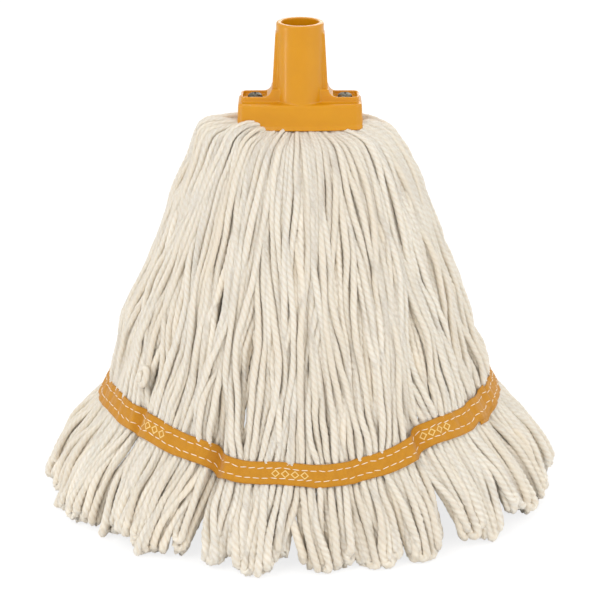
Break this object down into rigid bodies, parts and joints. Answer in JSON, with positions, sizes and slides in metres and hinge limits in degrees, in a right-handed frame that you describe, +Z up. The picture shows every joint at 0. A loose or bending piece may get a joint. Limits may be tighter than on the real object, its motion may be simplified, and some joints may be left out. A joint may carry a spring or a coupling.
{
  "type": "looped-end wet mop head",
  "caption": "Looped-yarn wet mop head: a moulded cap with a handle socket is bolted over the folded yarn, and a stitched tail tape spreads the skirt.",
  "frame": {"origin": "on the floor that the yarn stands on, under the middle of the handle socket", "axes": "+X to the right along the cap's long side, -Y to the front, +Z up out of the handle socket"},
  "size_m": [0.375, 0.3076, 0.35],
  "materials": {
    "cap_plastic": "moulded yellow polypropylene, satin",
    "bar_plastic": "moulded grey plastic",
    "zinc_steel": "zinc plated, dulled",
    "yarn": "twisted natural cotton blend, fuzzy",
    "tape": "woven yellow tape",
    "thread": "white sewing thread"
  },
  "bodies": {
    "root": {"socket_cap": "cap_plastic", "clamp_bar": "bar_plastic", "centre_tape": "tape", "bolt_left": "zinc_steel", "bolt_right": "zinc_steel", "nut_left": "zinc_steel", "nut_right": "zinc_steel", "yarn_hank_01": "yarn", "yarn_hank_02": "yarn", "yarn_hank_03": "yarn", "yarn_hank_04": "yarn", "yarn_hank_05": "yarn", "yarn_hank_06": "yarn", "yarn_hank_07": "yarn", "yarn_hank_08": "yarn", "yarn_hank_09": "yarn", "yarn_hank_10": "yarn", "yarn_hank_11": "yarn", "yarn_hank_12": "yarn", "yarn_hank_13": "yarn", "yarn_hank_14": "yarn", "tail_tape_outer": "tape", "tail_tape_inner": "tape", "upper_needle_thread": "thread", "lower_needle_thread": "thread", "upper_bobbin_thread": "thread", "lower_bobbin_thread": "thread"}
  },
  "joints": []
}
